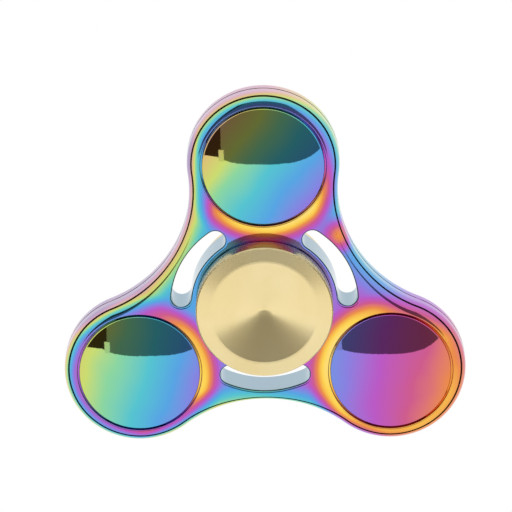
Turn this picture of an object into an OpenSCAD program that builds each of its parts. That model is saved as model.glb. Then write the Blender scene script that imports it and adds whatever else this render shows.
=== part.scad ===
// Three-lobed fidget spinner: a cast body with three pressed-in weights turns on a
// ball bearing, and is held between two finger caps that stay still.
// The origin is the centre of the bearing. +Z is the spin axis, towards the front cap,
// and one lobe points along +Y.

/* [Body] */
// Distance from the spin axis to the centre of each lobe
lobe_offset = 23.4; // [21:0.01:29]
// Width of metal between a pocket's mouth and the lobe's outer edge
lobe_wall = 2.15; // [2.05:0.05:3]
// Distance from the spin axis to the hollow edge between two lobes
waist_r = 16.9; // [14.1:0.1:19]
// Thickness of the body
body_t = 6.3; // [5.2:0.05:7.6]
// Radius of the rounded outer edges
edge_round = 1.8; // [0.5:0.1:1.8]
// Depth of the parting line around the outer edge
seam_depth = 0.15; // [0.05:0.05:0.3]

/* [Slots] */
// Width of each slot
slot_w = 3.2; // [2:0.1:3.9]
// Width of metal between a slot and the hollow edge outside it
slot_wall = 1.9; // [1.5:0.1:2.6]
// Width of metal between a slot's end and the lip of the pocket beside it
slot_gap = 2.8; // [1.5:0.1:4]
// Bevel on the slots' edges
slot_bevel = 0.25; // [0.1:0.05:0.4]

/* [Weights] */
// Radius of each weight
weight_r = 9.75; // [8.1:0.05:11.7]
// Height of a weight's dome above the body's face
dome_h = 0.7; // [0.3:0.1:1.2]
// Bevel on a weight's rim
weight_bevel = 0.2; // [0.1:0.05:0.4]
// Gap between a weight's rim and the mouth of its pocket
mouth_gap = 0.25; // [0.15:0.05:0.4]
// Depth of that gap
mouth_depth = 1.2; // [0.6:0.1:2]
// Bevel on the lip of each pocket
lip_bevel = 0.25; // [0.1:0.05:0.5]

/* [Caps] */
// Radius of each finger cap
cap_r = 11; // [9.2:0.1:12.5]
// Height of a cap's rim above the body's face
cap_rise = 3.6; // [3:0.1:4.6]
// Gap between a cap and the body's face
cap_gap = 0.3; // [0.2:0.05:0.6]
// Radius of the cone-shaped finger dish
dish_r = 8.5; // [7:0.1:8.6]
// Depth of the dish at its centre
dish_depth = 1.2; // [0.5:0.1:1.5]
// Width of the flat rim around the dish
rim_w = 0.3; // [0.2:0.05:0.4]
// Fall of the bevel from the flat rim to the cap's edge
rim_fall = 0.12; // [0.1:0.01:0.6]
// Bevel on the cap's outer corners
cap_bevel = 0.2; // [0.1:0.05:0.3]
// Wall left between the screw socket and the rear dish
socket_floor = 0.8; // [0.5:0.1:1.2]
// Radius of the front cap's screw
screw_r = 2; // [1.5:0.1:2.4]

/* [Bearing] */
// Outside diameter of the ball bearing
bearing_od = 12.7; // [11:0.02:15.3]
// Bore of the ball bearing
bearing_bore = 6.35; // [5.2:0.05:7.6]
// Width of the ball bearing
bearing_w = 4.762; // [4.4:0.001:5.2]
// Diameter of each ball
ball_d = 1.588; // [1.3:0.001:1.9]
// Number of balls
ball_count = 10; // [7:1:10]
// Part of the space between bore and outside that each ring takes
ring_share = 0.33; // [0.29:0.01:0.35]
// Thickness of the shields
shield_t = 0.15; // [0.1:0.05:0.2]
// Depth of the shields' seat from the bearing's face
shield_depth = 0.6; // [0.5:0.05:0.7]
// Thickness of the snap rings that hold the shields
clip_t = 0.25; // [0.15:0.05:0.3]
// Width of the snap rings
clip_w = 0.4; // [0.3:0.05:0.5]
// Gap in each snap ring, as an angle
clip_gap = 32; // [15:1:60]

/* [Fits] */
// Radial clearance of a pressed joint
press_gap = 0.01; // [0:0.005:0.02]
// Radial clearance of a ball in its tracks, and of a pin in its bore
running_gap = 0.02; // [0.01:0.005:0.05]
// Clearance of the cage and the shields inside the bearing
cage_gap = 0.12; // [0.08:0.01:0.15]
// Clearance at the end of the screw
end_gap = 0.1; // [0.05:0.05:0.3]

/* [Hidden] */
$fn = 96;
LOBES = 3;
FIRST_LOBE = 90;
step = 360 / LOBES;
half_step = step / 2;
half_t = body_t / 2;
mouth_r = weight_r + mouth_gap;
lobe_r = mouth_r + lobe_wall;
over = 1; // how far a cut runs past the face it cuts

// The hollow edge between two lobes is an arc that meets both lobes smoothly.
hollow_r = (pow(lobe_offset, 2) + pow(waist_r, 2) - pow(lobe_r, 2)
    - 2 * lobe_offset * waist_r * cos(half_step))
    / (2 * (lobe_r - waist_r + lobe_offset * cos(half_step)));
hollow_offset = waist_r + hollow_r;
lean = atan2(lobe_offset - hollow_offset * cos(half_step), hollow_offset * sin(half_step));
lobe_half_sweep = 90 + lean;
hollow_half_sweep = 90 - half_step + lean;
lobe_steps = 18; // flats round each lobe
hollow_steps = 8; // flats along each hollow
round_steps = 4; // flats in each rounded edge

// Each slot's middle line is round the spin axis, and its ends stop short of the pockets.
slot_r = waist_r - slot_wall - slot_w / 2;
slot_clear = mouth_r + lip_bevel + slot_gap + slot_w / 2;
slot_end_angle = acos((pow(slot_r, 2) + pow(lobe_offset, 2) - pow(slot_clear, 2)) / (2 * slot_r * lobe_offset));
slot_span = 2 * (half_step - slot_end_angle);

land_r = weight_r + press_gap;
land_z = half_t - mouth_depth;
dome_base_r = weight_r - weight_bevel;
dome_r = (pow(dome_base_r, 2) + pow(dome_h, 2)) / (2 * dome_h);

bearing_r = bearing_od / 2;
bore_r = bearing_bore / 2;
half_w = bearing_w / 2;
ring_wall = ring_share * (bearing_r - bore_r);
pitch_r = (bearing_r + bore_r) / 2;
ball_r = ball_d / 2;
track_r = ball_r + running_gap;
outer_land_r = bearing_r - ring_wall;
inner_land_r = bore_r + ring_wall;
shield_z = half_w - shield_depth;
shield_seat_r = outer_land_r + 0.35;
clip_z = shield_z + shield_t;
clip_seat_r = shield_seat_r + 0.15;
ball_step = 360 / ball_count;
web_t = 0.3; // the cage's web above the balls
cage_top = ball_r + cage_gap / 2 + web_t;
cage_bottom = -ball_r / 2;

rim_z = half_t + cap_rise;
cap_base_z = half_t + cap_gap;
apex_z = rim_z - dish_depth;
boss_r = inner_land_r - 0.2;
post_r = bore_r - running_gap;
shoulder_r = outer_land_r + 0.3;
socket_end_z = apex_z - socket_floor;

function lobe_angle(i) = FIRST_LOBE + step * i;
function polar(r, a) = [r * cos(a), r * sin(a)];
function number_name(i) = str(i + 1 < 10 ? "0" : "", i + 1);

WEIGHT_NAMES = [for (i = [0:LOBES - 1]) str("weight_", i + 1)];
BALL_NAMES = [for (i = [0:ball_count - 1]) str("ball_", number_name(i))];

// The body's outline, drawn smaller by the given inset: round each lobe, then along the hollow after it
function outline(inset) = [
    for (i = [0:LOBES - 1]) each concat(
        [for (n = [0:lobe_steps])
            polar(lobe_offset, lobe_angle(i))
            + polar(lobe_r - inset, lobe_angle(i) + lobe_half_sweep * (2 * n / lobe_steps - 1))],
        [for (n = [1:hollow_steps - 1])
            polar(hollow_offset, lobe_angle(i) + half_step)
            + polar(hollow_r + inset,
                lobe_angle(i) + half_step + 180 + hollow_half_sweep * (1 - 2 * n / hollow_steps))]
    )
];

// The lower half of the rim in section, as pairs of inset and height: the rounded edge, then the parting line
lower_rim = concat(
    [for (n = [0:round_steps])
        [edge_round * (1 - sin(90 * n / round_steps)), edge_round * (1 - cos(90 * n / round_steps)) - half_t]],
    [[0, -seam_depth]]
);
rim = concat(
    lower_rim, [[seam_depth, 0]], [for (n = [len(lower_rim) - 1:-1:0]) [lower_rim[n][0], -lower_rim[n][1]]]
);

// The body before its openings are cut: the outline at each height of the rim, and a fan over each face
module body_blank() {
    count = len(outline(0));
    top = len(rim) - 1;
    function at(level, n) = level * count + n % count;
    polyhedron(
        points = concat(
            [for (level = rim) each [for (corner = outline(level[0])) [corner[0], corner[1], level[1]]]],
            [[0, 0, -half_t], [0, 0, half_t]]
        ),
        faces = concat(
            [for (level = [0:top - 1]) each [for (n = [0:count - 1])
                [at(level, n), at(level + 1, n), at(level + 1, n + 1), at(level, n + 1)]]],
            [for (n = [0:count - 1]) [count * len(rim), at(0, n), at(0, n + 1)]],
            [for (n = [0:count - 1]) [count * len(rim) + 1, at(top, n + 1), at(top, n)]]
        )
    );
}

// A round cut through the body with a bevelled lip on both faces and a pressed land between
module pocket_cut() {
    upper = [
        [land_r, land_z],
        [mouth_r, land_z],
        [mouth_r, half_t - lip_bevel],
        [mouth_r + lip_bevel + over, half_t + over],
        [0, half_t + over]
    ];
    rotate_extrude()
        polygon(concat(upper, [for (n = [len(upper) - 1:-1:0]) [upper[n][0], -upper[n][1]]]));
}

// The bearing's seat, open at the front, with a shoulder at the rear
module seat_cut() {
    seat_r = bearing_r + press_gap;
    rotate_extrude()
        polygon([
            [0, -half_t - over],
            [shoulder_r, -half_t - over],
            [shoulder_r, -half_w],
            [seat_r, -half_w],
            [seat_r, half_t - lip_bevel],
            [seat_r + lip_bevel + over, half_t + over],
            [0, half_t + over]
        ]);
}

// Half of a slot in section, from its middle to its wall
module slot_half_section() {
    wall = slot_w / 2;
    polygon([
        [0, -half_t - over],
        [wall + slot_bevel + over, -half_t - over],
        [wall, slot_bevel - half_t],
        [wall, half_t - slot_bevel],
        [wall + slot_bevel + over, half_t + over],
        [0, half_t + over]
    ]);
}

// A curved slot with round ends, centred on +X
module slot_cut() {
    rotate(-slot_span / 2)
        rotate_extrude(angle = slot_span)
            translate([slot_r, 0]) {
                slot_half_section();
                mirror([1, 0]) slot_half_section();
            }
    for (side = [-1, 1])
        translate(polar(slot_r, side * slot_span / 2))
            rotate_extrude() slot_half_section();
}

// The body with its three pockets
module pocketed_body() {
    difference() {
        body_blank();
        for (i = [0:LOBES - 1])
            translate(polar(lobe_offset, lobe_angle(i))) pocket_cut();
    }
}

// The body with its pockets and its slots
module slotted_body() {
    difference() {
        pocketed_body();
        for (i = [0:LOBES - 1])
            rotate(lobe_angle(i) + half_step) slot_cut();
    }
}

// The cast and plated body
module body() {
    color([0.35, 0.55, 0.80])
        difference() {
            slotted_body();
            seat_cut();
        }
}

// A round weight, domed on both sides, pressed into a lobe
module weight(i) {
    color([0.25, 0.60, 0.65])
        translate(polar(lobe_offset, lobe_angle(i)))
            intersection() {
                rotate_extrude()
                    polygon([
                        [0, -half_t - over],
                        [dome_base_r - over, -half_t - over],
                        [weight_r, weight_bevel - half_t],
                        [weight_r, half_t - weight_bevel],
                        [dome_base_r - over, half_t + over],
                        [0, half_t + over]
                    ]);
                translate([0, 0, half_t + dome_h - dome_r]) sphere(dome_r, $fn = 360);
                translate([0, 0, dome_r - dome_h - half_t]) sphere(dome_r, $fn = 360);
            }
}

// What both caps share in section: a boss that bears on the inner ring, a disc and a cone-shaped dish
function cap_section() = [
    [boss_r, half_w],
    [boss_r, cap_base_z],
    [cap_r - cap_bevel, cap_base_z],
    [cap_r, cap_base_z + cap_bevel],
    [cap_r, rim_z - rim_fall - cap_bevel],
    [cap_r - cap_bevel, rim_z - rim_fall],
    [dish_r + rim_w, rim_z],
    [dish_r, rim_z],
    [0, apex_z]
];

// Front cap, with the post that passes through the bearing and ends in a screw
module front_cap() {
    post = [
        [0, end_gap - socket_end_z],
        [screw_r, end_gap - socket_end_z],
        [screw_r, end_gap - half_w],
        [post_r, end_gap - half_w],
        [post_r, half_w]
    ];
    color([0.86, 0.72, 0.42])
        rotate_extrude() polygon(concat(post, cap_section()));
}

// Rear cap, with the blind socket for the front cap's screw
module rear_cap() {
    color([0.84, 0.70, 0.40])
        difference() {
            mirror([0, 0, 1]) rotate_extrude() polygon(concat([[0, half_w]], cap_section()));
            translate([0, 0, -socket_end_z])
                cylinder(r = screw_r + running_gap, h = socket_end_z - half_w + over);
        }
}

// The bearing's outer ring, with a shield seat at each face
module bearing_outer_ring() {
    color([0.75, 0.76, 0.78])
        difference() {
            rotate_extrude()
                polygon([
                    [outer_land_r, -shield_z],
                    [shield_seat_r, -shield_z],
                    [shield_seat_r, -clip_z],
                    [clip_seat_r, -clip_z],
                    [clip_seat_r, -clip_z - clip_t],
                    [shield_seat_r, -clip_z - clip_t],
                    [shield_seat_r, -half_w],
                    [bearing_r, -half_w],
                    [bearing_r, half_w],
                    [shield_seat_r, half_w],
                    [shield_seat_r, clip_z + clip_t],
                    [clip_seat_r, clip_z + clip_t],
                    [clip_seat_r, clip_z],
                    [shield_seat_r, clip_z],
                    [shield_seat_r, shield_z],
                    [outer_land_r, shield_z]
                ]);
            rotate_extrude() translate([pitch_r, 0]) circle(track_r);
        }
}

// The bearing's inner ring, clamped between the caps
module bearing_inner_ring() {
    color([0.72, 0.73, 0.76])
        difference() {
            rotate_extrude() translate([bore_r, -half_w]) square([ring_wall, bearing_w]);
            rotate_extrude() translate([pitch_r, 0]) circle(track_r);
        }
}

// A crown cage: a ring with round pockets that are open at the rear
module ball_cage() {
    inner = inner_land_r + cage_gap;
    outer = outer_land_r - cage_gap;
    color([0.66, 0.62, 0.50])
        difference() {
            rotate_extrude()
                translate([inner, cage_bottom]) square([outer - inner, cage_top - cage_bottom]);
            for (i = [0:ball_count - 1])
                translate(polar(pitch_r, ball_step * i)) sphere(ball_r + cage_gap / 2);
        }
}

// One ball
module ball(i) {
    color([0.85, 0.86, 0.88])
        translate(polar(pitch_r, ball_step * i)) sphere(ball_r);
}

// A thin washer that keeps dust out of the bearing
module shield(side) {
    inner = inner_land_r + cage_gap;
    outer = shield_seat_r - press_gap;
    color([0.70, 0.71, 0.73])
        mirror([0, 0, side > 0 ? 0 : 1])
            rotate_extrude() translate([inner, shield_z]) square([outer - inner, shield_t]);
}

// An open spring ring that sits in a groove and holds a shield
module snap_ring(side) {
    outer = clip_seat_r - press_gap;
    color([0.55, 0.56, 0.60])
        mirror([0, 0, side > 0 ? 0 : 1])
            rotate(clip_gap / 2)
                rotate_extrude(angle = 360 - clip_gap)
                    translate([outer - clip_w, clip_z]) square([clip_w, clip_t]);
}

body();
for (i = [0:LOBES - 1])
    weight(i);
front_cap();
rear_cap();
bearing_outer_ring();
bearing_inner_ring();
ball_cage();
for (i = [0:ball_count - 1])
    ball(i);
shield(1);  // front_shield
shield(-1);  // rear_shield
snap_ring(1);  // front_snap_ring
snap_ring(-1);  // rear_snap_ring
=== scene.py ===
"""A three-lobed fidget spinner with an oil-slick plated body, domed weights and brass finger caps."""

import math

import bpy
from mathutils import Matrix, Vector
from mathutils.geometry import delaunay_2d_cdt


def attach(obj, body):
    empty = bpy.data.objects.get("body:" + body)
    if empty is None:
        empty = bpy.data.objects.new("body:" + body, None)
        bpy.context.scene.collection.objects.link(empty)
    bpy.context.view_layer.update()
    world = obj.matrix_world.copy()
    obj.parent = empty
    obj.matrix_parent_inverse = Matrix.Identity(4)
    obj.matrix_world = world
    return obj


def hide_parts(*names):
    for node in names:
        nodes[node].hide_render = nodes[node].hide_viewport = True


MM = 0.001
LOBES = 3
FIRST_LOBE = 90.0
ROUND_COUNT = 192  # sides of a turned surface

# The weights and their pockets, in millimetres
WEIGHT_R = 9.75
DOME_H = 0.7
WEIGHT_ROUND = 0.2
MOUTH_GAP = 0.25
MOUTH_DEPTH = 1.2
PRESS_GAP = 0.01
MOUTH_R = WEIGHT_R + MOUTH_GAP
LAND_R = WEIGHT_R + PRESS_GAP
LIP_ROUND = 0.25

# The body
LOBE_OFFSET = 23.4
LOBE_WALL = 2.15
LOBE_R = MOUTH_R + LOBE_WALL
WAIST_R = 16.9
HALF_T = 3.15
LAND_Z = HALF_T - MOUTH_DEPTH
EDGE_ROUND = 1.95
WAIST_EASE = 0.28  # how much narrower the rounded edge is at the middle of each hollow
SEAM_DEPTH = 0.15

# The slots
SLOT_W = 3.2
SLOT_WALL = 1.9
SLOT_R = WAIST_R - SLOT_WALL - SLOT_W / 2
SLOT_SPAN = 49.4
SLOT_ROUND = 0.4

# The bearing's seat in the body
BEARING_R = 6.35
BEARING_HALF_W = 2.381
SEAT_R = BEARING_R + PRESS_GAP
SHOULDER_R = 5.6

# Height of the finger caps' rims, on which the spinner rests
RIM_Z = 6.75

# The hollow edge between two lobes is an arc that meets both lobes smoothly
HALF_STEP = 180.0 / LOBES
HALF_STEP_COS = math.cos(math.radians(HALF_STEP))
HALF_STEP_SIN = math.sin(math.radians(HALF_STEP))
HOLLOW_R = (
    LOBE_OFFSET**2 + WAIST_R**2 - LOBE_R**2 - 2 * LOBE_OFFSET * WAIST_R * HALF_STEP_COS
) / (2 * (LOBE_R - WAIST_R + LOBE_OFFSET * HALF_STEP_COS))
HOLLOW_OFFSET = WAIST_R + HOLLOW_R
LEAN = math.degrees(
    math.atan2(LOBE_OFFSET - HOLLOW_OFFSET * HALF_STEP_COS, HOLLOW_OFFSET * HALF_STEP_SIN)
)

# The camera: where it stands round and above the spinner, and how it is framed
CAMERA_DISTANCE = 0.7
CAMERA_LENS = 307.0
CAMERA_AZIMUTH = 0.55
CAMERA_ELEVATION = 68.5
CAMERA_ROLL = -0.56
CAMERA_SHIFT = (-0.0166, 0.095)
SENSOR_WIDTH = 36.0

# The studio, in metres: the canopy overhead, its dark end, the window beside that, and the horizon
CANOPY_Z = 0.9
CANOPY_HALF_WIDTH = 0.32
CANOPY_BACK = 0.52
CANOPY_FRONT = -0.275
CANOPY_CURVE = 12.0
CANOPY_SHADE = 0.20
END_LOW = (-0.30, -0.24)
END_HIGH = (-0.20, 0.45)
WINDOW_LOW = (-0.21, -0.26)
WINDOW_HIGH = (-0.185, -0.20)
HORIZON_R = 0.6
HORIZON_LOW = -0.01
HORIZON_HIGH = 0.2
FLOOR_HALF_WIDTH = 2.0
FLOOR_GAP = 0.0002


def polar(radius, degrees):
    """A point, or a direction when the radius is 1, in the plane."""
    a = math.radians(degrees)
    return Vector((radius * math.cos(a), radius * math.sin(a)))


def lobe_angle(i):
    """The direction of a lobe from the spin axis, in degrees."""
    return FIRST_LOBE + i * 360.0 / LOBES


def steps(start, end, count):
    """Evenly spaced values from start to end, both included."""
    return [start + (end - start) * n / count for n in range(count + 1)]


class Skin:
    """Collects welded points and faces with a stated normal at every corner."""

    def __init__(self):
        self.points = []
        self.index = {}
        self.faces = []
        self.normals = []

    def point(self, p):
        """The number of the mesh point at p, in millimetres."""
        key = tuple(round(c, 5) for c in p)
        if key not in self.index:
            self.index[key] = len(self.points)
            self.points.append(Vector(p) * MM)
        return self.index[key]

    def face(self, corners):
        """corners is a list of (point, normal), turned so that the face looks along its normals."""
        ids = [self.point(p) for p, _ in corners]
        keep = [n for n in range(len(ids)) if ids[n] != ids[n - 1]]
        if len(keep) < 3:
            return
        corners = [corners[n] for n in keep]
        facing = sum((n for _, n in corners), Vector((0, 0, 0)))
        a, b, c = corners[0][0], corners[1][0], corners[2][0]
        across = (Vector(b) - Vector(a)).cross(Vector(c) - Vector(a))
        if across.dot(facing) < 0:
            corners.reverse()
        self.faces.append([self.point(p) for p, _ in corners])
        self.normals.extend(n.normalized() for _, n in corners)

    def loft(self, levels):
        """levels is a list of loops of (point, normal) with equal counts; neighbours are joined by quads."""
        for low, high in zip(levels, levels[1:]):
            for n in range(len(low)):
                m = (n + 1) % len(low)
                self.face([low[n], low[m], high[m], high[n]])

    def build(self, name, material):
        """Makes the mesh and puts it in the scene."""
        mesh = bpy.data.meshes.new(name)
        mesh.from_pydata(self.points, [], self.faces)
        mesh.polygons.foreach_set("use_smooth", [True] * len(mesh.polygons))
        mesh.normals_split_custom_set(self.normals)
        mesh.materials.append(material)
        mesh.update()
        obj = bpy.data.objects.new(name, mesh)
        bpy.context.scene.collection.objects.link(obj)
        return obj


def round_corner(centre, radius, start, end, count=5):
    """Part of a circle in section, as (across, height, normal across, normal up)."""
    out = []
    for a in steps(start, end, count):
        direction = polar(1.0, a)
        out.append((centre[0] + radius * direction.x, centre[1] + radius * direction.y, *direction))
    return out


def mirrored(section):
    """The runs of a section repeated below the middle plane."""
    below = [[(r, -z, nr, -nz) for r, z, nr, nz in reversed(run)] for run in reversed(section)]
    return section + below


def turn(skin, section, centre=(0.0, 0.0)):
    """Revolves runs of (radius, height, normal outward, normal up) round a vertical axis."""
    directions = [polar(1.0, 360.0 * n / ROUND_COUNT) for n in range(ROUND_COUNT)]
    for run in section:
        levels = []
        for r, z, nr, nz in run:
            levels.append(
                [
                    ((centre[0] + r * d.x, centre[1] + r * d.y, z), Vector((nr * d.x, nr * d.y, nz)))
                    for d in directions
                ]
            )
        skin.loft(levels)


def outline(inset):
    """The body's outline and its outward normals, drawn smaller by the given inset, less so at the waists."""
    out = []
    for i in range(LOBES):
        a = lobe_angle(i)
        centre = polar(LOBE_OFFSET, a)
        for b in steps(a - 90 - LEAN, a + 90 + LEAN, 64):
            out.append((centre + polar(LOBE_R - inset, b), polar(1.0, b)))
        centre = polar(HOLLOW_OFFSET, a + HALF_STEP)
        sweep = 90 - HALF_STEP + LEAN
        middle = a + HALF_STEP + 180
        for b in steps(middle + sweep, middle - sweep, 40)[1:-1]:
            ease = WAIST_EASE * math.cos(math.radians(90 * (b - middle) / sweep)) ** 2
            out.append((centre + polar(HOLLOW_R + inset * (1 - ease), b), -polar(1.0, b)))
    return out


def slot_outline(angle, grow):
    """A curved slot's outline and its normals, which point into the slot, made larger by grow."""
    half = SLOT_W / 2 + grow
    out = []
    for b in steps(-SLOT_SPAN / 2, SLOT_SPAN / 2, 32):
        out.append((polar(SLOT_R + half, angle + b), -polar(1.0, angle + b)))
    end = angle + SLOT_SPAN / 2
    for b in steps(0, 180, 16)[1:-1]:
        out.append((polar(SLOT_R, end) + polar(half, end + b), -polar(1.0, end + b)))
    for b in steps(SLOT_SPAN / 2, -SLOT_SPAN / 2, 32):
        out.append((polar(SLOT_R - half, angle + b), polar(1.0, angle + b)))
    end = angle - SLOT_SPAN / 2
    for b in steps(180, 360, 16)[1:-1]:
        out.append((polar(SLOT_R, end) + polar(half, end + b), -polar(1.0, end + b)))
    return out


def wall(skin, loop_at, section):
    """Lofts an outline along a section of (inset, height, normal across, normal up)."""
    for run in section:
        levels = []
        for inset, z, n_out, n_up in run:
            levels.append(
                [((p.x, p.y, z), Vector((n.x * n_out, n.y * n_out, n_up))) for p, n in loop_at(inset)]
            )
        skin.loft(levels)


def is_inside(p, loop):
    """Whether a point is inside a closed loop, by counting the edges to its right."""
    inside = False
    for a, b in zip(loop, loop[1:] + loop[:1]):
        if (a.y > p.y) != (b.y > p.y) and p.x < a.x + (b.x - a.x) * (p.y - a.y) / (b.y - a.y):
            inside = not inside
    return inside


def fill(skin, outer, holes, z):
    """Fills the flat region between an outer loop and the holes inside it."""
    corners = []
    edges = []
    for loop in [outer] + holes:
        first = len(corners)
        corners += loop
        edges += [(first + n, first + (n + 1) % len(loop)) for n in range(len(loop))]
    points, _, faces, *_ = delaunay_2d_cdt(corners, edges, [], 0, 1e-6)
    up = Vector((0, 0, math.copysign(1.0, z)))
    for face in faces:
        middle = sum((points[n] for n in face), Vector((0, 0))) / len(face)
        if is_inside(middle, outer) and not any(is_inside(middle, hole) for hole in holes):
            skin.face([((points[n].x, points[n].y, z), up) for n in face])


def circle(radius, centre=(0.0, 0.0)):
    """A closed loop of points with the same spacing that turn uses."""
    return [Vector(centre) + polar(radius, 360.0 * n / ROUND_COUNT) for n in range(ROUND_COUNT)]


def rim_section():
    """The rounded outer edge with the parting line at its middle, from the face to the middle."""
    corner_z = HALF_T - EDGE_ROUND
    arc = round_corner((0, corner_z), EDGE_ROUND, 90, 0, 12)
    edge = [(EDGE_ROUND - across, z, out, up) for across, z, out, up in arc]
    side = [(0, corner_z, 1, 0), (0, SEAM_DEPTH, 1, 0)]
    groove = [(0, SEAM_DEPTH, 0.7, -0.7), (SEAM_DEPTH, 0, 0.7, -0.7)]
    return mirrored([edge, side, groove])


def hole_lip(rounding):
    """The rounded lip of an opening, as (grow, height, normal into the opening, normal up)."""
    arc = round_corner((0, HALF_T - rounding), rounding, 90, 0)
    return [(rounding - across, z, out, up) for across, z, out, up in arc]


def make_body(material):
    """The cast plate: rounded rim, two flat faces, three slots, three pockets and the bearing's seat."""
    skin = Skin()
    wall(skin, outline, rim_section())
    slot_section = mirrored([hole_lip(SLOT_ROUND), [(0, HALF_T - SLOT_ROUND, 1, 0), (0, 0, 1, 0)]])
    slot_angles = [lobe_angle(i) + HALF_STEP for i in range(LOBES)]
    for angle in slot_angles:
        wall(skin, lambda grow, angle=angle: slot_outline(angle, grow), slot_section)
    lip = [(MOUTH_R + g, z, -n, up) for g, z, n, up in hole_lip(LIP_ROUND)]
    pocket = mirrored([
        lip,
        [(MOUTH_R, HALF_T - LIP_ROUND, -1, 0), (MOUTH_R, LAND_Z, -1, 0)],
        [(MOUTH_R, LAND_Z, 0, 1), (LAND_R, LAND_Z, 0, 1)],
        [(LAND_R, LAND_Z, -1, 0), (LAND_R, 0, -1, 0)],
    ])
    centres = [polar(LOBE_OFFSET, lobe_angle(i)) for i in range(LOBES)]
    for centre in centres:
        turn(skin, pocket, centre)
    seat = [
        [(SEAT_R + g, z, -n, up) for g, z, n, up in hole_lip(LIP_ROUND)],
        [(SEAT_R, HALF_T - LIP_ROUND, -1, 0), (SEAT_R, -BEARING_HALF_W, -1, 0)],
        [(SEAT_R, -BEARING_HALF_W, 0, 1), (SHOULDER_R, -BEARING_HALF_W, 0, 1)],
        [(SHOULDER_R, -BEARING_HALF_W, -1, 0), (SHOULDER_R, -HALF_T, -1, 0)],
    ]
    turn(skin, seat)
    for z, bore in ((HALF_T, SEAT_R + LIP_ROUND), (-HALF_T, SHOULDER_R)):
        holes = [circle(bore)] + [circle(MOUTH_R + LIP_ROUND, c) for c in centres]
        holes += [[p for p, _ in slot_outline(a, SLOT_ROUND)] for a in slot_angles]
        fill(skin, [p for p, _ in outline(EDGE_ROUND)], holes, z)
    return skin.build("body_shell", material)


def make_weight(i, material):
    """A slug with a shallow dome on both faces and a rounded rim."""
    skin = Skin()
    rim_r = WEIGHT_R - WEIGHT_ROUND
    dome_r = (rim_r**2 + DOME_H**2) / (2 * DOME_H)
    half_angle = math.degrees(math.asin(rim_r / dome_r))
    dome = round_corner((0, HALF_T + DOME_H - dome_r), dome_r, 90, 90 - half_angle, 24)
    corner = round_corner((rim_r, HALF_T - WEIGHT_ROUND), WEIGHT_ROUND, 90 - half_angle, 0)
    corner[0] = (rim_r, HALF_T, *corner[0][2:])
    side = [(WEIGHT_R, HALF_T - WEIGHT_ROUND, 1, 0), (WEIGHT_R, 0, 1, 0)]
    turn(skin, mirrored([dome, corner, side]), polar(LOBE_OFFSET, lobe_angle(i)))
    return skin.build(f"weight_slug_{i + 1}", material)


class Graph:
    """Shorthand for building a material's nodes."""

    def __init__(self, tree):
        self.tree = tree

    def node(self, kind, **settings):
        made = self.tree.nodes.new(kind)
        for key, value in settings.items():
            setattr(made, key, value)
        return made

    def feed(self, socket, value):
        """Links a socket to another, or sets its value."""
        if isinstance(value, bpy.types.NodeSocket):
            self.tree.links.new(value, socket)
        else:
            socket.default_value = value

    def math(self, operation, *values):
        made = self.node("ShaderNodeMath", operation=operation)
        for socket, value in zip(made.inputs, values):
            self.feed(socket, value)
        return made.outputs[0]

    def distance(self, vector, centre):
        made = self.node("ShaderNodeVectorMath", operation="DISTANCE")
        self.feed(made.inputs[0], vector)
        self.feed(made.inputs[1], centre)
        return made.outputs["Value"]

    def fade(self, value, start, end, low=0.0, high=1.0):
        """A smooth change from low at start to high at end."""
        made = self.node("ShaderNodeMapRange", interpolation_type="SMOOTHSTEP")
        for socket, given in zip(made.inputs, (value, start, end, low, high)):
            self.feed(socket, given)
        return made.outputs[0]

    def noise(self, vector, scale, detail=2.0, roughness=0.5):
        made = self.node("ShaderNodeTexNoise")
        self.feed(made.inputs["Vector"], vector)
        self.feed(made.inputs["Scale"], scale)
        self.feed(made.inputs["Detail"], detail)
        self.feed(made.inputs["Roughness"], roughness)
        return made.outputs["Fac"]

    def ramp(self, value, stops):
        made = self.node("ShaderNodeValToRGB")
        ramp = made.color_ramp
        while len(ramp.elements) < len(stops):
            ramp.elements.new(0.5)
        for element, (place, colour) in zip(ramp.elements, stops):
            element.position = place
            element.color = (*colour, 1.0)
        self.feed(made.inputs[0], value)
        return made.outputs[0]

    def mix(self, factor, a, b):
        made = self.node("ShaderNodeMix", data_type="RGBA")
        self.feed(made.inputs["Factor"], factor)
        self.feed(made.inputs[6], a)
        self.feed(made.inputs[7], b)
        return made.outputs[2]

    def bump(self, height, strength, distance):
        made = self.node("ShaderNodeBump")
        self.feed(made.inputs["Height"], height)
        self.feed(made.inputs["Strength"], strength)
        self.feed(made.inputs["Distance"], distance)
        return made.outputs["Normal"]


def new_material(name):
    """A material with its node shorthand and its shader."""
    material = bpy.data.materials.new(name)
    material.use_nodes = True
    graph = Graph(material.node_tree)
    shader = material.node_tree.nodes["Principled BSDF"]
    return material, graph, shader


def linear(red, green, blue):
    """A linear colour from screen values of 0 to 255."""
    def one(v):
        v /= 255.0
        return v / 12.92 if v <= 0.04045 else ((v + 0.055) / 1.055) ** 2.4
    return (one(red), one(green), one(blue))


# The oil-slick colours in the order in which they follow one another as the film gets thicker
FILM_COLOURS = (
    (-0.45, (170, 150, 190)),
    (-0.28, (214, 160, 186)),
    (-0.12, (222, 190, 120)),
    (0.00, (204, 220, 112)),
    (0.10, (140, 214, 160)),
    (0.24, (86, 196, 208)),
    (0.40, (88, 164, 228)),
    (0.54, (138, 128, 224)),
    (0.67, (186, 90, 198)),
    (0.79, (206, 92, 142)),
    (0.90, (236, 140, 74)),
    (1.00, (255, 214, 84)),
    (1.12, (255, 240, 176)),
    (1.25, (250, 250, 236)),
)


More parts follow.
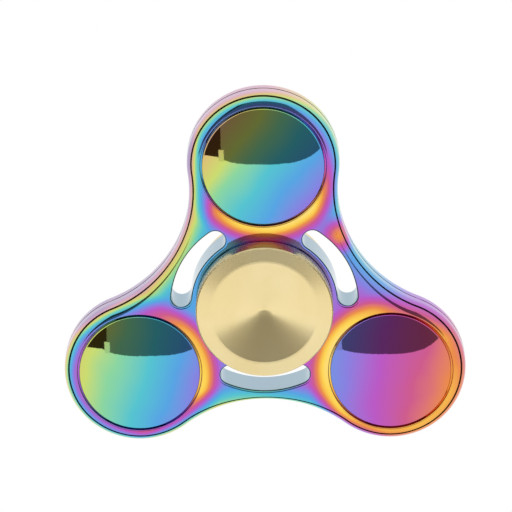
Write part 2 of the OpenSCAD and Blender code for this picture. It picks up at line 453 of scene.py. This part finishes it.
def film_colour(graph, film):
    """The colour that a film of the given thickness shows."""
    thinnest = FILM_COLOURS[0][0]
    thickest = FILM_COLOURS[-1][0]
    place = graph.node("ShaderNodeMapRange")
    for socket, given in zip(place.inputs, (film, thinnest, thickest, 0.0, 1.0)):
        graph.feed(socket, given)
    span = thickest - thinnest
    stops = [((t - thinnest) / span, linear(*colour)) for t, colour in FILM_COLOURS]
    return graph.ramp(place.outputs[0], stops)


def flat_position(graph):
    """The point's place, the same place with its height dropped, and its X and Y, in metres."""
    coords = graph.node("ShaderNodeTexCoord")
    split = graph.node("ShaderNodeSeparateXYZ")
    graph.feed(split.inputs[0], coords.outputs["Object"])
    joined = graph.node("ShaderNodeCombineXYZ")
    graph.feed(joined.inputs[0], split.outputs[0])
    graph.feed(joined.inputs[1], split.outputs[1])
    return coords.outputs["Object"], joined.outputs[0], split.outputs[0], split.outputs[1]


def lathe_marks(graph, scale, detail, roughness=0.5):
    """Fine rings round the spin axis."""
    _, flat, *_ = flat_position(graph)
    rings = graph.node("ShaderNodeCombineXYZ")
    graph.feed(rings.inputs[0], graph.distance(flat, (0.0, 0.0, 0.0)))
    return graph.noise(rings.outputs[0], scale, detail, roughness)


def side_lean(graph):
    """0 on the flat faces and 1 on upright walls, from the surface's own normal."""
    coords = graph.node("ShaderNodeTexCoord")
    split = graph.node("ShaderNodeSeparateXYZ")
    graph.feed(split.inputs[0], coords.outputs["Normal"])
    return graph.math("SUBTRACT", 1.0, graph.math("ABSOLUTE", split.outputs[2]))


def polished(graph, shader, place, roughness):
    """Fine polishing marks and faint smudges."""
    smudge = graph.noise(place, 260.0, 4.0, 0.6)
    graph.feed(shader.inputs["Roughness"], graph.fade(smudge, 0.3, 0.8, roughness * 0.7, roughness * 1.6))
    ripple = graph.noise(place, 900.0, 3.0, 0.55)
    graph.feed(shader.inputs["Normal"], graph.bump(ripple, 0.05, 0.00002))


# The two tones that the brass drifts between
BRASS = linear(243, 221, 162)
BRIGHT_BRASS = linear(247, 228, 174)

# Beside each pocket the film is thickest towards the first value, a direction in degrees, and on the
# far side from it has only the second value's share of the effect
THICK_SIDES = ((-75.0, 0.3), (-5.0, 0.45), (175.0, 0.6))

# The film at the middle of each weight, and how fast it grows along +X and +Y, per metre
WEIGHT_FILMS = ((0.20, 29.0, -20.0), (0.24, 30.0, -8.0), (0.68, 22.0, -4.0))

# How much the film changes towards each hollow edge, starting with the one to the left of the +Y lobe
HOLLOW_FILMS = (-0.45, -0.42, -0.16)

# How much thinner the film is at a lobe's edge, and on upright walls, on the -X side and on the +X side
EDGE_FILMS = (-0.4, -0.02)
WALL_FILMS = (-0.35, -0.05)

# The film on the slots' walls, the bare metal that shows through it there, and how much
SLOT_FILM = 0.38
SLOT_METAL = (0.40, 0.46, 0.40, 1.0)
SLOT_BARE = 0.6

# A spot beside one slot where the film is thicker again: its middle and radius in millimetres
SPOT = (12.6, 11.9)
SPOT_R = 4.2
SPOT_FILM = 0.5

# The body's film at its middle, and how fast it grows along +X and +Y, per metre
BODY_FILM = (0.51, 8.0, -5.0)

# How far the film's change reaches from a pocket, from a hollow edge and from a lobe's edge
POCKET_REACH = 4.2
HOLLOW_REACH = 4.5
EDGE_REACH = 2.2

# The pale tint on the upright walls, a painted reflection of the white surroundings, and its share there
WALL_REFLECTION_TINT = (1.0, 0.93, 0.95, 1.0)
WALL_REFLECTION_SHARE = 0.18


def pocket_film(graph, film, flat, x, y, i):
    """Thickens the film towards a pocket's mouth; also gives the distance from the pocket's middle."""
    thick_side, least = THICK_SIDES[i]
    centre = polar(LOBE_OFFSET * MM, lobe_angle(i))
    from_centre = graph.distance(flat, (centre.x, centre.y, 0.0))
    way = polar(1.0 / (MOUTH_R * MM), thick_side)
    along = graph.math("MULTIPLY", graph.math("SUBTRACT", x, centre.x), way.x)
    along = graph.math("MULTIPLY_ADD", graph.math("SUBTRACT", y, centre.y), way.y, along)
    share = graph.fade(along, -0.3, 0.9, least, 1.0)
    reach = graph.fade(from_centre, (MOUTH_R + POCKET_REACH) * MM, (MOUTH_R + 0.3) * MM)
    lack = graph.math("SUBTRACT", 1.0, film)
    return graph.math("MULTIPLY_ADD", graph.math("MULTIPLY", share, reach), lack, film), from_centre


def hollow_film(graph, film, flat, i):
    """Changes the film towards the hollow edge that follows a lobe."""
    centre = polar(HOLLOW_OFFSET * MM, lobe_angle(i) + HALF_STEP)
    from_centre = graph.distance(flat, (centre.x, centre.y, 0.0))
    change = graph.fade(from_centre, (HOLLOW_R + HOLLOW_REACH) * MM, HOLLOW_R * MM, 0.0, HOLLOW_FILMS[i])
    return graph.math("ADD", film, change)


def slot_walls(graph, from_axis, from_pocket, lean):
    """1 on the slots' walls and 0 elsewhere."""
    off_middle = graph.math("ABSOLUTE", graph.math("SUBTRACT", from_axis, SLOT_R * MM))
    across = graph.fade(off_middle, (SLOT_W / 2 + 0.3) * MM, SLOT_W / 2 * MM)
    clear = graph.fade(from_pocket, (MOUTH_R + 0.3) * MM, (MOUTH_R + 0.9) * MM)
    upright = graph.fade(lean, 0.2, 0.6)
    return graph.math("MULTIPLY", graph.math("MULTIPLY", across, clear), upright)


def body_plating():
    """The film is thick beside the pockets, most of all on one side, and thinner at the outer edges."""
    material, graph, shader = new_material("rainbow_body")
    place, flat, x, y = flat_position(graph)
    middle, along_x, along_y = BODY_FILM
    film = graph.math("MULTIPLY_ADD", x, along_x, middle)
    film = graph.math("MULTIPLY_ADD", y, along_y, film)
    from_pocket = None
    for i in range(LOBES):
        film, from_this = pocket_film(graph, film, flat, x, y, i)
        from_pocket = from_this if from_pocket is None else graph.math("MINIMUM", from_pocket, from_this)
        film = hollow_film(graph, film, flat, i)
    from_spot = graph.distance(flat, (SPOT[0] * MM, SPOT[1] * MM, 0.0))
    film = graph.math("ADD", film, graph.fade(from_spot, SPOT_R * MM, 0.4 * MM, 0.0, SPOT_FILM))
    from_axis = graph.distance(flat, (0.0, 0.0, 0.0))
    lobe_edge = graph.fade(from_pocket, (LOBE_R - EDGE_REACH) * MM, LOBE_R * MM)
    lobe_edge = graph.math("MULTIPLY", lobe_edge, graph.fade(x, -0.004, 0.024, *EDGE_FILMS))
    off_hub = graph.fade(from_axis, 0.017, 0.029)
    film = graph.math("MULTIPLY_ADD", lobe_edge, off_hub, film)
    lean = side_lean(graph)
    film = graph.math("MULTIPLY_ADD", lean, graph.fade(x, 0.0, 0.026, *WALL_FILMS), film)
    film = graph.math("ADD", film, graph.fade(graph.noise(place, 60.0, 2.0), 0.2, 0.8, -0.05, 0.05))
    in_slot = slot_walls(graph, from_axis, from_pocket, lean)
    film = graph.math("MULTIPLY_ADD", in_slot, graph.math("SUBTRACT", SLOT_FILM, film), film)
    # Painted reflection: the upright walls are mixed towards a pale tint, which stands in for the white
    # surroundings they reflect
    colour = graph.mix(graph.math("MULTIPLY", lean, WALL_REFLECTION_SHARE), film_colour(graph, film), WALL_REFLECTION_TINT)
    colour = graph.mix(graph.math("MULTIPLY", in_slot, SLOT_BARE), colour, SLOT_METAL)
    graph.feed(shader.inputs["Base Color"], colour)
    graph.feed(shader.inputs["Metallic"], 1.0)
    polished(graph, shader, place, 0.07)
    return material


def weight_plating(i):
    """Each weight was plated on its own, so its colours start at their own place and run across it."""
    material, graph, shader = new_material(f"rainbow_weight_{i + 1}")
    place, _, x, y = flat_position(graph)
    centre = polar(LOBE_OFFSET * MM, lobe_angle(i))
    middle, along_x, along_y = WEIGHT_FILMS[i]
    film = graph.math("MULTIPLY_ADD", graph.math("SUBTRACT", x, centre.x), along_x, middle)
    film = graph.math("MULTIPLY_ADD", graph.math("SUBTRACT", y, centre.y), along_y, film)
    film = graph.math("ADD", film, graph.fade(graph.noise(place, 70.0, 2.0), 0.2, 0.8, -0.04, 0.04))
    graph.feed(shader.inputs["Base Color"], film_colour(graph, film))
    graph.feed(shader.inputs["Metallic"], 1.0)
    polished(graph, shader, place, 0.02)
    return material


def turned_brass():
    """Brass with fine lathe marks, which draw the light out across them."""
    material, graph, shader = new_material("turned_brass")
    place, *_ = flat_position(graph)
    marks = lathe_marks(graph, 9000.0, 3.0, 0.7)
    tone = graph.fade(graph.noise(place, 120.0, 3.0), 0.3, 0.7)
    graph.feed(shader.inputs["Base Color"], graph.mix(tone, (*BRASS, 1.0), (*BRIGHT_BRASS, 1.0)))
    graph.feed(shader.inputs["Metallic"], 1.0)
    graph.feed(shader.inputs["Roughness"], graph.fade(marks, 0.3, 0.7, 0.20, 0.24))
    graph.feed(shader.inputs["Anisotropic"], 0.85)
    graph.feed(shader.inputs["Anisotropic Rotation"], 0.25)
    tangent = graph.node("ShaderNodeTangent", direction_type="RADIAL", axis="Z")
    graph.feed(shader.inputs["Tangent"], tangent.outputs[0])
    graph.feed(shader.inputs["Normal"], graph.bump(marks, 0.04, 0.00001))
    return material


def ground_steel(name, colour, roughness):
    """Hard steel with fine marks that run round the spin axis, and a thin, uneven coat of oil."""
    material, graph, shader = new_material(name)
    place, *_ = flat_position(graph)
    marks = lathe_marks(graph, 6000.0, 2.0)
    oil = graph.fade(graph.noise(place, 300.0, 3.0), 0.35, 0.7)
    dull = tuple(c * 0.82 for c in colour)
    graph.feed(shader.inputs["Base Color"], graph.mix(oil, (*colour, 1.0), (*dull, 1.0)))
    graph.feed(shader.inputs["Metallic"], 1.0)
    graph.feed(shader.inputs["Roughness"], graph.fade(marks, 0.3, 0.7, roughness * 0.8, roughness * 1.25))
    graph.feed(shader.inputs["Normal"], graph.bump(marks, 0.1, 0.00001))
    return material


def glow(name, colour):
    """A surface that gives off light evenly."""
    material = bpy.data.materials.new(name)
    material.use_nodes = True
    graph = Graph(material.node_tree)
    material.node_tree.nodes.remove(material.node_tree.nodes["Principled BSDF"])
    light = graph.node("ShaderNodeEmission")
    graph.feed(light.inputs["Color"], (*colour, 1.0))
    graph.feed(light.inputs["Strength"], 1.0)
    graph.feed(material.node_tree.nodes["Material Output"].inputs["Surface"], light.outputs[0])
    return material


def panel(name, corners, colour, shown=False, faces=None):
    """A glowing card of the studio: one flat face, unless its faces are given."""
    mesh = bpy.data.meshes.new(name)
    mesh.from_pydata(corners, [], faces or [range(len(corners))])
    mesh.materials.append(glow(name, colour))
    obj = bpy.data.objects.new(name, mesh)
    bpy.context.scene.collection.objects.link(obj)
    obj.visible_camera = shown
    obj.visible_diffuse = shown


def rectangle(low, high, z):
    """The corners of a level rectangle."""
    return [(low[0], low[1], z), (high[0], low[1], z), (high[0], high[1], z), (low[0], high[1], z)]


def make_room():
    """The bright room and the floor."""
    world = bpy.data.worlds.new("studio")
    world.use_nodes = True
    background = world.node_tree.nodes["Background"]
    background.inputs["Color"].default_value = (1.0, 1.0, 1.0, 1.0)
    background.inputs["Strength"].default_value = 1.0
    bpy.context.scene.world = world
    half = FLOOR_HALF_WIDTH
    floor = rectangle((-half, -half), (half, half), -RIM_Z * MM - FLOOR_GAP)
    panel("floor", floor, (1.0, 1.0, 1.0), shown=True)


def make_canopy():
    """A dark canopy overhead with a curved front edge, a darker end and a small bright window."""
    half = CANOPY_HALF_WIDTH
    front = [(x, CANOPY_CURVE * x**4 + CANOPY_FRONT, CANOPY_Z) for x in steps(-half, half, 16)]
    back = [(half, CANOPY_BACK, CANOPY_Z), (-half, CANOPY_BACK, CANOPY_Z)]
    panel("canopy", front + back, (CANOPY_SHADE, CANOPY_SHADE, CANOPY_SHADE))
    panel("canopy_end", rectangle(END_LOW, END_HIGH, CANOPY_Z - 0.01), (0.04, 0.025, 0.02))
    panel("canopy_window", rectangle(WINDOW_LOW, WINDOW_HIGH, CANOPY_Z - 0.02), (0.8, 0.8, 0.8))


def make_horizon():
    """A thin dark band all round."""
    ring = [polar(HORIZON_R, a) for a in range(0, 360, 10)]
    corners = [(p.x, p.y, z) for z in (HORIZON_LOW, HORIZON_HIGH) for p in ring]
    count = len(ring)
    faces = [(n, (n + 1) % count, count + (n + 1) % count, count + n) for n in range(count)]
    panel("horizon", corners, (0.02, 0.02, 0.02), faces=faces)


def make_camera():
    """Stands over the +Y side and looks down at the front cap, with +Y up in the picture."""
    elevation = math.radians(CAMERA_ELEVATION)
    flat_back = polar(math.cos(elevation), 90.0 - CAMERA_AZIMUTH)
    back = Vector((flat_back.x, flat_back.y, math.sin(elevation)))
    up = Vector((0, 1, 0)) - back * back.y
    up.normalize()
    right = up.cross(back)
    roll = math.radians(CAMERA_ROLL)
    turned_right = right * math.cos(roll) + up * math.sin(roll)
    turned_up = up * math.cos(roll) - right * math.sin(roll)
    target = Vector((0, 0, HALF_T * MM))
    data = bpy.data.cameras.new("camera")
    data.lens = CAMERA_LENS
    data.sensor_width = SENSOR_WIDTH
    data.clip_start = 0.01
    data.shift_x, data.shift_y = CAMERA_SHIFT
    camera = bpy.data.objects.new("camera", data)
    bpy.context.scene.collection.objects.link(camera)
    matrix = Matrix((turned_right, turned_up, back)).transposed().to_4x4()
    matrix.translation = target + back * CAMERA_DISTANCE
    camera.matrix_world = matrix
    bpy.context.scene.camera = camera


def dress(nodes, name, material):
    """Gives a carried-over CAD node its material."""
    mesh = nodes[name].data
    mesh.materials.clear()
    mesh.materials.append(material)


make_camera()
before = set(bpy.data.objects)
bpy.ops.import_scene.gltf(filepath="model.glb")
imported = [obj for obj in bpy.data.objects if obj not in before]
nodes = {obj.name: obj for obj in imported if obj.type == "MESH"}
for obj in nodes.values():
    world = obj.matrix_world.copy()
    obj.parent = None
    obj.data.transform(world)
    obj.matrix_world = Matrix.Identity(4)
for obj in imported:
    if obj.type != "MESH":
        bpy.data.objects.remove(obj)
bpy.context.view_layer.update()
bpy.context.scene.view_settings.view_transform = "Standard"
make_room()
make_canopy()
make_horizon()

shell = make_body(body_plating())
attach(shell, "rotor")
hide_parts("body")
for i in range(LOBES):
    slug = make_weight(i, weight_plating(i))
    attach(slug, "rotor")
    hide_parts(f"weight_{i + 1}")

brass = turned_brass()
for name in ("front_cap", "rear_cap"):
    dress(nodes, name, brass)
ring_steel = ground_steel("ring_steel", (0.74, 0.75, 0.78), 0.16)
ball_steel = ground_steel("ball_steel", (0.86, 0.87, 0.89), 0.06)
cage_steel = ground_steel("cage_steel", (0.66, 0.60, 0.48), 0.34)
shield_steel = ground_steel("shield_steel", (0.70, 0.71, 0.73), 0.28)
spring_steel = ground_steel("spring_steel", (0.46, 0.47, 0.51), 0.30)
for name in nodes:
    if name.startswith("ball_") and name != "ball_cage":
        dress(nodes, name, ball_steel)
    elif name.endswith("shield"):
        dress(nodes, name, shield_steel)
    elif name.endswith("snap_ring"):
        dress(nodes, name, spring_steel)
    elif name.startswith("bearing_"):
        dress(nodes, name, ring_steel)
dress(nodes, "ball_cage", cage_steel)
